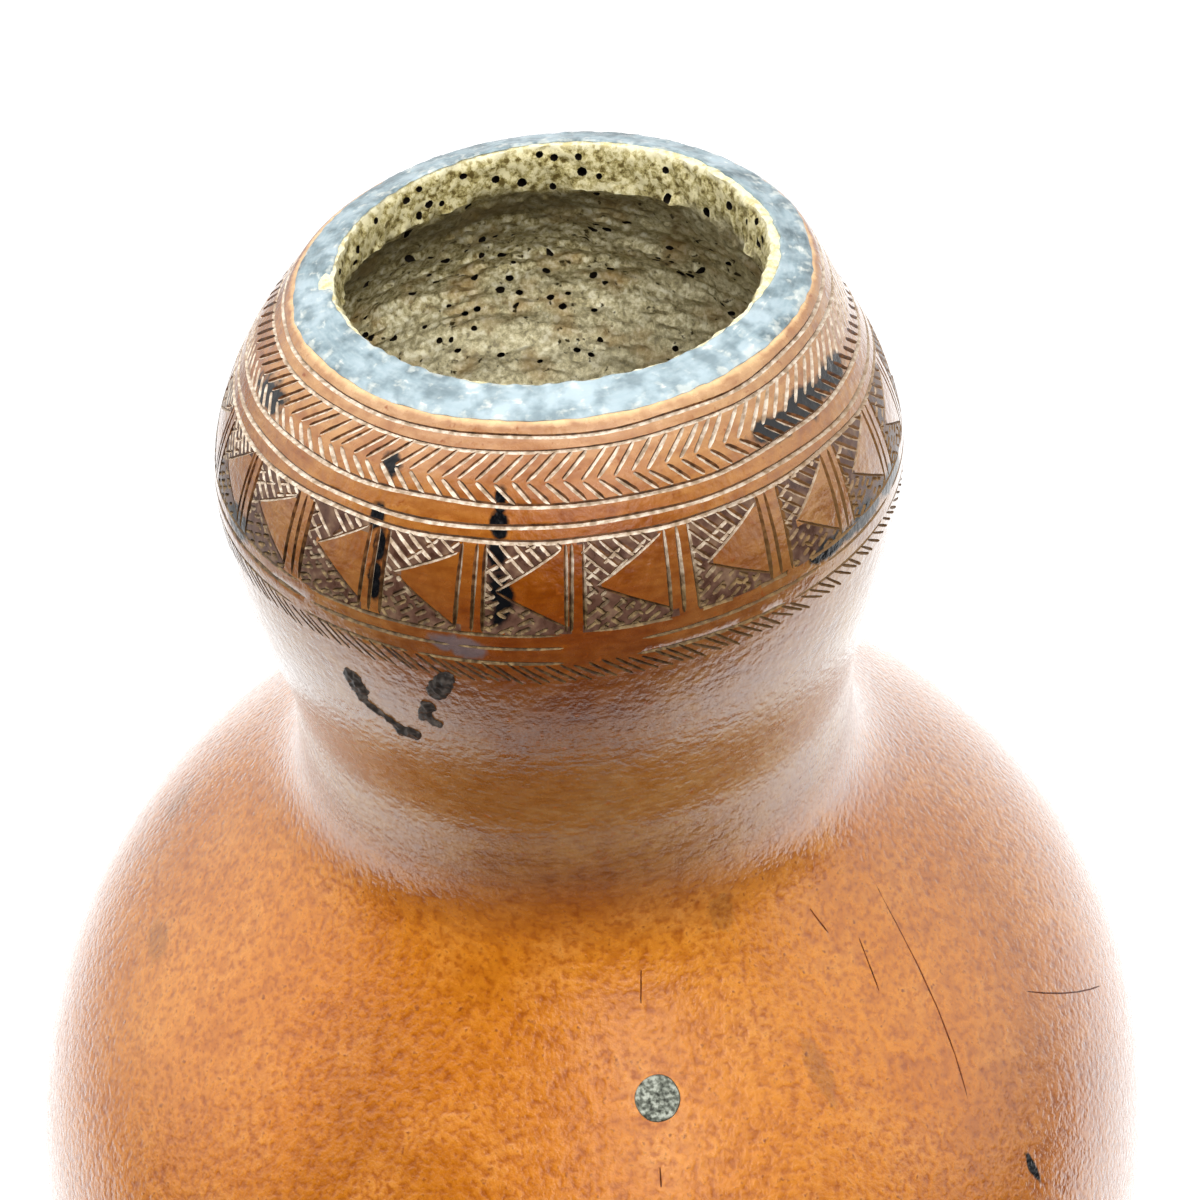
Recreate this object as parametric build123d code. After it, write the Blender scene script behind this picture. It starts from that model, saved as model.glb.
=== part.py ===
from build123d import *
from math import cos, radians, sin
import os

# Carved bottle gourd with two lobes, in millimetres, standing upright on Z.
# The origin is the centre of the flat underside. The front of the gourd faces -Y.
# A turn is an angle about Z, counted from the front towards +X.

# Rings of the outer surface: the waist and the neck lobe hang below the lip
base_radius = 38.0
belly_radius = 120.5
belly_height = 105.0
waist_radius = 50.0
waist_drop = 88.8
lobe_radius = 56.0
lobe_drop = 34.3
lip_height = 316.3

# Reach of the side curves: how far each curve keeps the direction of the ring it leaves
base_reach = 48.0
base_rise = 2.0
belly_reach_down = 62.0
belly_reach_up = 90.0
waist_reach_down = 34.0
waist_reach_up = 20.0
lobe_reach_down = 20.0
lobe_reach_up = 13.0
lip_reach = 12.0
lip_slope = 51.8
curve_steps = 12

# Walls
rind_thickness = 3.2
pith_thickness = 5.5
coat_thickness = 0.9

# Mouth: sawn off at a slight tilt, in degrees, and bored out, with a lip that falls outwards
mouth_radius = 32.5
mouth_lean_front = 4.1
mouth_lean_left = 1.9
lip_width = 6.9
lip_fall = 1.75
crown_height = 22.0
bore_depth = 14.0

# Plugged hole on the shoulder of the belly
plug_diameter = 7.4
plug_turn = 7.7
plug_drop = 36.0

# Mastic repairs on the flank of the neck lobe
repair_turn = -29.0
repair_drop = 11.0
repair_depth = 1.2

# Dabs of mastic as rounds: across, up and radius, measured from the middle of the repair
long_head = ((-6.6, 3.6, 1.3), (-5.6, 1.6, 1.35), (-5.4, -0.6, 0.6))
long_seam = ((-5.3, -0.9, 0.5), (0.2, -4.3, 0.45))
long_foot = ((0.4, -5.2, 1.1), (2.6, -5.2, 1.2))
wing_top = ((6.2, 2.2, 1.0), (4.9, -0.4, 0.75))
wing_foot = ((5.6, -0.2, 0.7), (7.2, -1.3, 0.6))
border_dab = ((8.0, 5.9, 1.4), (9.4, 8.2, 1.2), (10.2, 9.4, 0.9))


# Side curves, from the crown down to the underside, as radius and height

lip_radius = mouth_radius + lip_width
lip = Vector(lip_radius, lip_height)
lobe = Vector(lobe_radius, lip_height - lobe_drop)
waist = Vector(waist_radius, lip_height - waist_drop)
belly = Vector(belly_radius, belly_height)
base = Vector(base_radius, 0)
apex = Vector(0, lip_height + crown_height)
lip_way = Vector(cos(radians(lip_slope)), -sin(radians(lip_slope)))
up = Vector(0, 1)

crown = Bezier(apex, apex + Vector(lip_radius / 2, 0), lip - lip_way * lip_reach, lip)
shoulder = Bezier(lip, lip + lip_way * lip_reach, lobe + up * lobe_reach_up, lobe)
flank = Bezier(lobe, lobe - up * lobe_reach_down, waist + up * waist_reach_up, waist)
hip = Bezier(waist, waist - up * waist_reach_down, belly + up * belly_reach_up, belly)
foot = Bezier(belly, belly - up * belly_reach_down, base + Vector(base_reach, base_rise), base)
side = [crown, shoulder, flank, hip, foot]


def outward(way):
    """The direction square to a side curve, away from the axis."""
    return Vector(-way.Y, way.X)


def inner_curve(curve, depth):
    """The curve that runs parallel to a side curve at a depth below the surface."""
    shares = [step / curve_steps for step in range(curve_steps + 1)]
    points = [curve @ share - outward(curve % share) * depth for share in shares]
    return Spline(points, tangents=(curve % 0, curve % 1))


def gourd(depth):
    """The whole uncut gourd, with its surface moved inwards by a depth."""
    curves = [inner_curve(curve, depth) for curve in side] if depth else side
    top = curves[0] @ 0
    bottom = curves[-1] @ 1
    axis = Polyline(bottom, (0, bottom.Y), top)
    return revolve(Plane.XZ * make_face(curves + [axis]), Axis.Z)


def seat(curve, distance, turn):
    """The plane that touches the surface at a distance down a side curve."""
    place = curve.position_at(distance, position_mode=PositionMode.LENGTH)
    way = curve.tangent_at(distance, position_mode=PositionMode.LENGTH)
    out = outward(way)
    across = sin(radians(turn))
    along = -cos(radians(turn))
    origin = (place.X * across, place.X * along, place.Y)
    return Plane(origin, x_dir=(-along, across, 0), z_dir=(out.X * across, out.X * along, out.Y))


# Walls of the uncut gourd

whole = gourd(0)
under_rind = gourd(rind_thickness)
hollow = gourd(rind_thickness + pith_thickness)

# Mouth cut, turned about its own leaning axis

lean = Vector(-mouth_lean_left, -mouth_lean_front) * radians(1)
mouth_plane = Plane((0, 0, lip_height + lip_fall), z_dir=(lean.X, lean.Y, 1))
far_fall = lip_fall * (lobe_radius - mouth_radius) / lip_width
mouth_section = Polyline(
    (0, -bore_depth),
    (mouth_radius, -bore_depth),
    (mouth_radius, 0),
    (lobe_radius, -far_fall),
    (lobe_radius, 2 * crown_height),
    (0, 2 * crown_height),
    close=True,
)
mouth_cut = mouth_plane * revolve(Plane.XZ * make_face(mouth_section), Axis.Z)
coat_cut = Pos(mouth_plane.z_dir * -coat_thickness) * mouth_cut

# Plug, and mastic dabs that fill pockets in the rind

plug_seat = seat(hip, plug_drop, plug_turn)
plug_length = 4 * (rind_thickness + pith_thickness)
plug_bar = plug_seat * Cylinder(plug_diameter / 2, plug_length)
belly_plug = plug_bar & (whole - hollow)

repair_seat = seat(flank, repair_drop, repair_turn)
repair_layer = whole - gourd(repair_depth)


def dab(*groups):
    """Mastic pressed into the rind: rounds of each group drawn together into one patch."""
    patch = Sketch()
    for group in groups:
        rounds = [Pos(across, rise) * Circle(radius) for across, rise, radius in group]
        patch += make_hull([edge for disc in rounds for edge in disc.edges()])
    return extrude(repair_seat * patch, lobe_radius / 4, both=True) & repair_layer


crack_fill_long = dab(long_head, long_seam, long_foot)
crack_fill_wing = dab(wing_top, wing_foot)
crack_fill_border = dab(border_dab)
fills = [crack_fill_long, crack_fill_wing, crack_fill_border]

# Walls after the cuts

gourd_rind = whole - under_rind - coat_cut - plug_bar - fills
pith_lining = under_rind - hollow - coat_cut - plug_bar
lip_blacking = ((whole - hollow) & coat_cut) - mouth_cut

nodes = {
    "gourd_rind": gourd_rind,
    "pith_lining": pith_lining,
    "lip_blacking": lip_blacking,
    "belly_plug": belly_plug,
    "crack_fill_long": crack_fill_long,
    "crack_fill_wing": crack_fill_wing,
    "crack_fill_border": crack_fill_border,
}

os.makedirs("parts", exist_ok=True)
for name, piece in nodes.items():
    export_step(piece, f"parts/{name}.step")
    size = piece.bounding_box().size
    print(f"{name}: {piece.volume:.1f} mm3, {size.X:.1f} x {size.Y:.1f} x {size.Z:.1f} mm")
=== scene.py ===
# %% [markdown]
# # A carved bottle gourd
# The real object is a dried bottle gourd with two lobes. Its top is sawn off, the lip is blackened, the
# upper lobe is carved with bands of knife cuts, and mastic fills a hole and some cracks. The CAD frame
# holds each of these pieces at its real size. This lesson dresses them: first the camera, then one
# piece after the other, then finishes and light.

# %% Load the fixed frame
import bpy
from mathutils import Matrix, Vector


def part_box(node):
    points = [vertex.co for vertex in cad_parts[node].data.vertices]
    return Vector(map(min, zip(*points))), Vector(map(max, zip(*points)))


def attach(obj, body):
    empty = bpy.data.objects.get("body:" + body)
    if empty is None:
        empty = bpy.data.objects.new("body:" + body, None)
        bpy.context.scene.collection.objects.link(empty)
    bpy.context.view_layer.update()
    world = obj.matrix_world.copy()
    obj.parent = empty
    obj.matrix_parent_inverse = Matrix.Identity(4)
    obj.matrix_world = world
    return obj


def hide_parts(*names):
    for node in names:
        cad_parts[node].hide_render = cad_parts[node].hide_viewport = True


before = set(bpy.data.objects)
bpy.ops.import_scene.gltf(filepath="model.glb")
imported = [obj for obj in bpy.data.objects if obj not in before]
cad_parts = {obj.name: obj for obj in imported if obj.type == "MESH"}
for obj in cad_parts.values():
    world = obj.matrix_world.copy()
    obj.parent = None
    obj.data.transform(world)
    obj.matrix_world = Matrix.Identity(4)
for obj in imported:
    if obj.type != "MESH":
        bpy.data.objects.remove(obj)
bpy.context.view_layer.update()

# %% [markdown]
# ## The camera
# The photo looks down into the mouth from close by. A camera placed by eye would shear the mouth and
# the bands, so its place was worked out from the lip, the rings of carving and the outline. It stands
# in front of the gourd, turns slightly right, tips down and is rolled a little, as a hand-held camera
# is.

# %% Camera
import bpy
import random
from math import cos, pi, radians, sin
from mathutils import Matrix, Vector, noise
from mathutils.geometry import interpolate_bezier

mm = 0.001
eye = Vector((0, -237.0, 446.7)) * mm
tip, turn_right, roll = radians(39.93), radians(1.29), radians(-2.74)
look = Vector((sin(turn_right) * cos(tip), cos(turn_right) * cos(tip), -sin(tip)))
level = look.cross(Vector((0, 0, 1))).normalized()
across = Matrix.Rotation(-roll, 3, look) @ level
upward = across.cross(look)

bpy.ops.object.select_all(action="DESELECT")
bpy.ops.object.camera_add(location=eye)
camera = bpy.context.object
camera.rotation_euler = Matrix((across, upward, -look)).transposed().to_euler()
camera.data.angle = radians(38)
camera.data.clip_start = 10 * mm
bpy.context.scene.camera = camera
print("camera looks along", [round(v, 3) for v in look])

# %% [markdown]
# ## The side of the gourd
# A gourd is nearly a body of revolution, so one side curve describes it. The curve runs from the lip
# over the upper lobe, into the waist and round the belly to the flat underside. Bezier arcs between the
# rings keep it smooth, and the same curve carries the carving, the mastic and the pith, so all of them
# fit.

# %% Side curve
rind_low, rind_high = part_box("gourd_rind")
belly_radius = (rind_high.x - rind_low.x) / 2
lip = Vector((39.4, 0, 316.3)) * mm
lobe = Vector((56.0, 0, 282.0)) * mm
waist = Vector((50.0, 0, 227.5)) * mm
belly = Vector((belly_radius, 0, 105.0 * mm))
base = Vector((38.0, 0, 0)) * mm
lip_pull = Vector((cos(radians(51.8)), 0, -sin(radians(51.8)))) * 12 * mm
base_pull = Vector((48, 0, 2)) * mm


def rise(height):
    """An upright pull of a side curve, in millimetres."""
    return Vector((0, 0, height * mm))


def bow(start, start_pull, end, end_pull, steps):
    """Points of one Bezier arc between two rings of the side."""
    return interpolate_bezier(start, start + start_pull, end + end_pull, end, steps + 1)


def side_points(shoulder_steps, flank_steps, hip_steps, foot_steps):
    """The side from the lip down to the underside, with a number of steps for each arc."""
    shoulder = bow(lip, lip_pull, lobe, rise(13), shoulder_steps)
    flank = bow(lobe, rise(-20), waist, rise(20), flank_steps)
    hip = bow(waist, rise(-34), belly, rise(90), hip_steps)
    foot = bow(belly, rise(-62), base, base_pull, foot_steps)
    return shoulder + flank[1:] + hip[1:] + foot[1:]


side = side_points(34, 26, 30, 14)
print("side curve of", len(side), "points")

# %% [markdown]
# Knife cuts and dabs are planned flat, by turn and height, and then laid on the gourd. A helper finds
# the place and the outward direction on the side at a height, and another one turns that to any side of
# the gourd. A turn of zero is the front, and turns count to the right.

# %% Places on the surface
def sunk(points, depth):
    """The side curve moved inwards by a depth, square to itself."""
    moved = []
    for i, point in enumerate(points):
        way = (points[min(i + 1, len(points) - 1)] - points[max(i - 1, 0)]).normalized()
        moved.append(point - Vector((-way.z, 0, way.x)) * depth)
    return moved


def side_at(height):
    """Radius and outward direction of the side at a height."""
    for upper, lower in zip(side, side[1:]):
        if lower.z <= height:
            break
    share = (upper.z - height) / (upper.z - lower.z)
    way = (lower - upper).normalized()
    return upper.x + (lower.x - upper.x) * share, Vector((-way.z, 0, way.x))


def on_gourd(turn, height):
    """A point on the gourd, and the outward direction there."""
    radius, square = side_at(height)
    outward = Vector((square.x * sin(turn), -square.x * cos(turn), square.z))
    return Vector((radius * sin(turn), -radius * cos(turn), height)), outward


print("radius at the carved band", round(side_at(295 * mm)[0] / mm, 1), "mm")

# %% [markdown]
# ## The rind
# The rind is turned like a pot: its wall section is drawn once and spun about the upright axis. The
# spin leaves a double seam and doubled poles, so doubles are merged before the normals are made to
# point outwards.

# %% Turn the rind
rind_depth = 3.2 * mm


def only(piece):
    """Select one piece alone and make it active."""
    bpy.ops.object.select_all(action="DESELECT")
    piece.select_set(True)
    bpy.context.view_layer.objects.active = piece


def new_piece(name, verts, edges, faces):
    """A new mesh object from points, edges and faces."""
    mesh = bpy.data.meshes.new(name)
    mesh.from_pydata(verts, edges, faces)
    piece = bpy.data.objects.new(name, mesh)
    bpy.context.collection.objects.link(piece)
    return piece


def turned(name, section, steps):
    """Spin a wall section, which runs from axis to axis or closes on itself, about the upright axis."""
    piece = new_piece(name, section, [(i, i + 1) for i in range(len(section) - 1)], [])
    only(piece)
    bpy.ops.object.mode_set(mode="EDIT")
    bpy.ops.mesh.select_all(action="SELECT")
    bpy.ops.mesh.spin(steps=steps, angle=2 * pi, center=(0, 0, 0), axis=(0, 0, 1))
    bpy.ops.mesh.select_all(action="SELECT")
    bpy.ops.mesh.remove_doubles(threshold=0.005 * mm)
    bpy.ops.mesh.normals_make_consistent(inside=False)
    bpy.ops.object.mode_set(mode="OBJECT")
    return piece


def flat(*places):
    """Section points from radius and height in millimetres."""
    return [Vector((radius, 0, height)) * mm for radius, height in places]


inner_side = sunk(side_points(6, 6, 9, 7), rind_depth)
lip_edge = flat((35.4, 316.35), (37.4, 316.15), (38.7, 315.95), (39.35, 315.9))
rind_section = [Vector((0, 0, rind_depth))] + inner_side[::-1] + lip_edge + side[1:] + [Vector((0, 0, 0))]
rind = turned("rind", rind_section, 224)
print("rind", len(rind.data.polygons), "faces")

# %% [markdown]
# ## Knife cuts
# A carver pushes a short blade through the rind, so each cut is a narrow boat with pointed ends and a V
# across. A bump pattern could fake it, but it would vanish at the outline and leave no real groove. So
# each cut is a small closed solid of its own, whose section swells between its two points and wavers a
# little, as a hand does.

# %% One knife cut
dice = random.Random(17)
lift = 0.15 * mm
stations = ((0.04, 0.68), (0.2, 0.97), (0.4, 1.0), (0.6, 1.0), (0.8, 0.97), (0.96, 0.68))


def vary(value, amount):
    """A value moved by chance."""
    return value + dice.uniform(-amount, amount)


def vee(spot, outward, sideways, width, depth):
    """The lower edge, bottom and upper edge of a cut's section, open above the surface."""
    half = sideways * (width / 2 * (1 + lift / depth))
    bottom = spot - outward * depth + sideways * width * 0.06
    return [spot + outward * lift - half, bottom, spot + outward * lift + half]


def boat(verts, faces, start, end, width, depth):
    """Add one cut between two places, given as turn and height, to a cutter."""
    def place(share):
        return on_gourd(start[0] + (end[0] - start[0]) * share, start[1] + (end[1] - start[1]) * share)

    first = len(verts)
    verts.append(place(0)[0] + place(0)[1] * lift / 10)
    for share, full in stations:
        spot, outward = place(share)
        along = place(share + 0.02)[0] - place(share - 0.02)[0]
        ragged_width = width * full * vary(1, 0.12)
        verts += vee(spot, outward, outward.cross(along).normalized(), ragged_width, depth * full)
    last = len(verts)
    verts.append(place(1)[0] + place(1)[1] * lift / 10)
    rings = range(first + 1, last, 3)
    for ring in rings[:-1]:
        faces += [(ring + i, ring + (i + 1) % 3, ring + 3 + (i + 1) % 3, ring + 3 + i) for i in range(3)]
    faces += [(first, rings[0] + (i + 1) % 3, rings[0] + i) for i in range(3)]
    faces += [(last, rings[-1] + i, rings[-1] + (i + 1) % 3) for i in range(3)]


print("a cut has", 2 + 3 * len(stations), "points")

# %% [markdown]
# The lower wall of a cut lies flat, faces the light and shows clean, pale flesh. Its upper wall is steep
# and turned from the light, so it gets painted shade, a dark brown. The two get finish slots of their own,
# which a Boolean carries over from the cutter to the piece. The boats of one pass are gathered into a
# single cutter and don't touch each other, because a Boolean takes clean closed solids. Crossing cuts
# wait for a later pass.

# %% Carving
def carve(piece, cutter, slots):
    """Cut a solid out of a piece; the finish slots repeat over the cutter's faces."""
    count = len(cutter.data.polygons)
    cutter.data.polygons.foreach_set("material_index", [slots[i % len(slots)] for i in range(count)])
    only(cutter)
    bpy.ops.object.mode_set(mode="EDIT")
    bpy.ops.mesh.select_all(action="SELECT")
    bpy.ops.mesh.normals_make_consistent(inside=False)
    bpy.ops.object.mode_set(mode="OBJECT")
    cutting = piece.modifiers.new("cut", "BOOLEAN")
    cutting.operation = "DIFFERENCE"
    cutting.solver = "MANIFOLD"
    cutting.object = cutter
    only(piece)
    bpy.ops.object.modifier_apply(modifier=cutting.name)
    bpy.data.objects.remove(cutter)


def carve_cuts(name, cuts, slots=(1, 2, 1)):
    """Carve one pass of boats into the rind, with a clean lower wall and an upper wall in painted shade.
    """
    verts, faces = [], []
    for cut in cuts:
        boat(verts, faces, *cut)
    carve(rind, new_piece(name, verts, [], faces), slots)
    print(name, len(cuts), "cuts, rind now has", len(rind.data.polygons), "faces")


# The dark cut finish is painted shade, for the wall turned from the light.
for finish_name in ("rind polish", "clean cut", "painted shade cut", "scored ground", "scratch"):
    rind.data.materials.append(bpy.data.materials.new(finish_name))
print("rind has", len(rind.data.materials), "finish slots")

# %% [markdown]
# ### Rings
# Eight lines run round the lobe and frame the bands. A hand-held knife wanders, so each ring rises and
# falls a little and its depth varies. A torus would be too even for that. The upper five are deep and
# unbroken, so each is a V drawn round the gourd step by step and closed into a hoop. The lower three
# are worn down to broken strokes, which the boats give.

# %% Carve the rings
ring_heights = [height * mm for height in (314.4, 312.4, 305.3, 302.8, 301.0, 288.7, 286.5, 284.0)]


def wander(turn, seed, amount):
    """A slow waver round the gourd that meets itself after a full turn."""
    return amount * noise.noise(Vector((3 * cos(turn), 3 * sin(turn), seed * 7.3)))


def hoop(height, seed, width, depth, steps=260):
    """A closed V-shaped ring cutter at a height."""
    verts, faces = [], []
    for i in range(steps):
        turn = 2 * pi * i / steps
        spot, outward = on_gourd(turn, height + wander(turn, seed, 0.5 * mm))
        uphill = outward.cross(Vector((cos(turn), sin(turn), 0)))
        cut_depth = depth * (1 + wander(2 * turn, seed + 3, 0.7))
        verts += vee(spot, outward, uphill, width * vary(1, 0.07), cut_depth)
        here, there = 3 * i, 3 * ((i + 1) % steps)
        faces += [(here + k, here + (k + 1) % 3, there + (k + 1) % 3, there + k) for k in range(3)]
    return new_piece("ring cutter", verts, [], faces)


for seed, height in enumerate(ring_heights[:5]):
    carve(rind, hoop(height, seed, 0.82 * mm, 0.42 * mm), (1, 2, 1))

worn_rings = []
for height in ring_heights[5:]:
    turn = dice.uniform(0, 0.2)
    while turn < 2 * pi - 0.1:
        end = min(turn + dice.uniform(0.3, 0.9), 2 * pi - 0.02)
        ends = (turn, vary(height, 0.15 * mm)), (end, vary(height, 0.15 * mm))
        worn_rings.append((*ends, vary(0.52, 0.1) * mm, vary(0.24, 0.06) * mm))
        turn = end + dice.uniform(0.01, 0.04)
carve_cuts("worn rings", worn_rings)

# %% [markdown]
# ### Herringbone
# Between the second and third ring, strokes slant down to the left from above and back to the right
# below, so each pair is a chevron that points left. One chevron could be copied round, but the real
# strokes are spaced by eye, so each is laid by itself, with its own turn, ends and width. The two rows
# meet at their points and are carved in two passes.

# %% Carve the herringbone
chevrons = 120
chevron_turn = 2 * pi / chevrons
top, bottom = ring_heights[1] - 0.1 * mm, ring_heights[2] + 0.1 * mm
middle = bottom + 0.39 * (top - bottom)
upper_cuts, lower_cuts = [], []
for i in range(chevrons):
    point = (chevron_turn * vary(i, 0.1), vary(middle, 0.2 * mm))
    high = (point[0] + chevron_turn * vary(1.7, 0.15), vary(top, 0.15 * mm))
    low = (point[0] + chevron_turn * vary(1.25, 0.12), vary(bottom, 0.15 * mm))
    start = (point[0] + 0.06 * chevron_turn, point[1] - 0.2 * mm)
    upper_cuts.append((point, high, vary(0.76, 0.06) * mm, vary(0.44, 0.08) * mm))
    lower_cuts.append((start, low, vary(0.76, 0.06) * mm, vary(0.44, 0.08) * mm))
carve_cuts("upper chevron strokes", upper_cuts)
carve_cuts("lower chevron strokes", lower_cuts)

# %% [markdown]
# ### Triangles
# The broad band is parted into cells by groups of upright lines. Each cell keeps one plain triangle
# that points left, and the corners above and below it are hatched. The hatching is planned flat, where
# it is easy to measure: parallel lines are clipped to the corner, as a carver stops the knife at the
# edge.

# %% Hatching
cell_top, cell_bottom = ring_heights[4] - 0.2 * mm, ring_heights[5] + 0.2 * mm
cell_height = cell_top - cell_bottom
band_radius = side_at(cell_bottom + cell_height / 2)[0]


def clipped(start, way, corners):
    """The stretch of a line inside a convex outline, as two distances along it, or nothing."""
    low, high = -1.0, 1.0
    for a, b in zip(corners, corners[1:] + corners[:1]):
        inward = Vector((a.y - b.y, b.x - a.x))
        rate = inward.dot(way)
        room = inward.dot(start - a)
        if rate > 0:
            low = max(low, -room / rate)
        elif rate < 0:
            high = min(high, -room / rate)
    return (low, high) if high - low > 0.9 * mm else None


def hatching(corners, slant, spacing, keep, dash):
    """Parallel cuts over a corner, broken into dashes.
    The outline runs counter-clockwise, as distance round the gourd and height."""
    way = Vector((cos(slant), sin(slant)))
    square = Vector((-way.y, way.x))
    reach = [square.dot(corner) for corner in corners]
    cuts = []
    offset = min(reach) + spacing * 0.6
    while offset < max(reach) - spacing * 0.3:
        line = square * offset
        start, stop = clipped(line, way, corners) or (0, 0)
        stop -= vary(0.12, 0.1) * mm
        while start < stop - 0.6 * mm:
            end = min(stop, start + dash * dice.uniform(0.6, 1.4))
            if dice.random() < keep:
                a, b = line + way * start, line + way * end
                ends = (a.x / band_radius, a.y), (b.x / band_radius, b.y)
                cuts.append((*ends, vary(0.66, 0.14) * mm, vary(0.36, 0.06) * mm))
            start = end + vary(0.7, 0.3) * mm
        offset += spacing * dice.uniform(0.8, 1.2)
    return cuts


print("triangle band", round(cell_height / mm, 1), "mm high")

# %% [markdown]
# The cells in front keep the uneven spacing of the real carving: each is given by the turns of its
# three upright lines. The cells on the far side are spread over the rest by chance. Each cell sets its
# triangle's three corners, and from those follow its edges and the two corners to hatch.

# %% Plan the triangle cells
cells = [(-62.6, -61.2, -59.4), (-47.8, -46.0, -44.2), (-32.2, -30.6, -28.8), (-16.6, -14.2, -12.6)]
cells += [(-0.6, 0.4, 2.2), (15.2, 17.2, 19.4), (32.2, 34.0, 36.4)]
for i in range(16):
    start = vary(47.8 + 15.6 * i, 0.5)
    cells.append((start, start + vary(1.8, 0.4), start + vary(3.6, 0.4)))
uprights, upper_edges, lower_edges, first_hatch, cross_hatch, scored = [], [], [], [], [], []
for lines, following in zip(cells, cells[1:] + [(297.4,)]):
    for turn in lines:
        ends = (radians(vary(turn - 0.3, 0.2)), cell_bottom), (radians(vary(turn + 0.3, 0.2)), cell_top)
        uprights.append((*ends, vary(0.66, 0.08) * mm, vary(0.42, 0.06) * mm))
    left, right = radians(lines[2]) * band_radius, radians(following[0]) * band_radius
    apex = Vector((left + vary(2.1, 0.8) * mm, cell_bottom + vary(0.53, 0.04) * cell_height))
    high = Vector((right - 0.15 * mm, cell_top - vary(0.9, 0.6) * mm))
    low = Vector((right - 0.15 * mm, cell_bottom + vary(0.9, 0.6) * mm))
    beside = Vector((left, apex.y))
    above = [Vector((left, cell_top)), beside, apex, high, Vector((right, cell_top))]
    below = [Vector((left, cell_bottom)), Vector((right, cell_bottom)), low, apex, beside]
    apex_place = (apex.x / band_radius, apex.y)
    upper_edges.append((apex_place, (high.x / band_radius, high.y), 0.5 * mm, 0.3 * mm))
    lower_edges.append((apex_place, (low.x / band_radius, low.y), 0.4 * mm, 0.24 * mm))
    scored.append((above, below))
    first_hatch += hatching(above, radians(vary(-39, 6)), 1.4 * mm, 0.97, 9 * mm)
    first_hatch += hatching(below, radians(vary(27, 6)), 1.2 * mm, 0.85, 1.8 * mm)
    cross_hatch += hatching(above, radians(vary(28, 8)), 1.7 * mm, 0.5, 2.6 * mm)
    cross_hatch += hatching(below, radians(vary(-36, 8)), 1.35 * mm, 0.6, 1.3 * mm)
print(len(cells), "cells,", len(first_hatch) + len(cross_hatch), "hatching cuts")

# %% [markdown]
# The planned cuts are now carved, one kind after the other, because uprights, edges and hatching cross.
# On the right the light comes from the other side of an upright, so its clean wall and its wall of
# painted shade change places there.

# %% Carve the triangle cells
shaded = [cut for cut in uprights if radians(25) < cut[0][0] < radians(120)]
carve_cuts("uprights", [cut for cut in uprights if cut not in shaded])
carve_cuts("shaded uprights", shaded, (2, 1, 1))
carve_cuts("upper triangle edges", upper_edges)
# The lower triangle edges get painted shade on all their walls.
carve_cuts("lower triangle edges", lower_edges, (2,))
carve_cuts("first hatching", first_hatch)
carve_cuts("cross hatching", cross_hatch)

# %% [markdown]
# ### Fringe
# Below the last ring, a row of thin slanted strokes ends the carving. They lie close and are dark, so
# here the wall in painted shade is the lower one. They are spaced just far enough apart not to touch, so
# that one pass carves them.

# %% Carve the fringe
fringe = []
strokes = 185
for i in range(strokes):
    start = (2 * pi * vary(i, 0.1) / strokes, vary(283.8, 0.3) * mm)
    end = (start[0] + radians(vary(4.6, 0.5)), vary(280.5, 0.4) * mm)
    fringe.append((start, end, vary(0.48, 0.05) * mm, vary(0.34, 0.06) * mm))
carve_cuts("fringe", fringe, (2, 1, 1))

# %% [markdown]
# ### Scratches
# Use has left a few long scratches on the belly. They could be drawn in the finish, but a real groove
# breaks the shine as well. So they are shallow, narrow boats, placed where they lie on the belly, with
# a dirty finish of their own.

# %% Scratch the belly
scratch_ends = [
    ((56.4, 207.3), (45.3, 182.7)), ((46.8, 204.7), (44.0, 198.7)), ((41.7, 211.8), (42.5, 207.6)),
    ((62.1, 183.6), (73.6, 166.8)), ((8.3, 213.8), (7.4, 209.4)), ((6.6, 192.6), (6.4, 190.6)),
]
scratches = []
for start, end in scratch_ends:
    ends = [(radians(turn), height * mm) for turn, height in (start, end)]
    scratches.append((*ends, 0.3 * mm, 0.13 * mm))
carve_cuts("scratches", scratches, (4,))

# %% [markdown]
# ### Scored ground
# The hatched corners have lost their polish: dirt and old oil make their ground dark. A texture would
# have to repeat every corner's outline, so the faces left between the cuts are found by place instead
# and get a finish slot of their own.

# %% Scored ground
from bisect import bisect
from math import atan2, degrees

cell_starts = [lines[0] for lines in cells]


def inside(corners, spot):
    """Whether a flat place lies inside a convex outline."""
    pairs = zip(corners, corners[1:] + corners[:1])
    return all((b - a).cross(spot - a) >= 0 for a, b in pairs)


scored_faces = 0
for polygon in rind.data.polygons:
    centre = polygon.center
    if polygon.material_index == 0 and cell_bottom < centre.z < cell_top and centre.xy.length > 45 * mm:
        turn = (degrees(atan2(centre.x, -centre.y)) - cell_starts[0]) % 360 + cell_starts[0]
        spot = Vector((radians(turn) * band_radius, centre.z))
        if any(inside(corners, spot) for corners in scored[bisect(cell_starts, turn) - 1]):
            polygon.material_index = 3
            scored_faces += 1
print(scored_faces, "faces of scored ground")

# %% [markdown]
# ## The plug
# A round hole on the shoulder of the belly is stopped with a grey, gritty paste. The hole is bored
# square to the surface by a cylinder a hair wider than the plug. Both get the same outline, which is a
# little out of round.

# %% Bore the hole
plug_radius = 3.7 * mm
plug_turn, plug_height = radians(7.7), 199.2 * mm
plug_spot, plug_out = on_gourd(plug_turn, plug_height)
plug_frame = Matrix.Translation(plug_spot) @ plug_out.to_track_quat("Z", "Y").to_matrix().to_4x4()


def shaped(piece, move):
    """Move every vertex of a piece by a rule."""
    for vertex in piece.data.vertices:
        vertex.co = move(vertex.co)
    piece.data.update()


def rod(name, radius, depth, sides):
    """A cylinder primitive at the origin."""
    bpy.ops.object.select_all(action="DESELECT")
    bpy.ops.mesh.primitive_cylinder_add(vertices=sides, radius=radius, depth=depth)
    bpy.context.object.name = name
    return bpy.context.object


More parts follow.
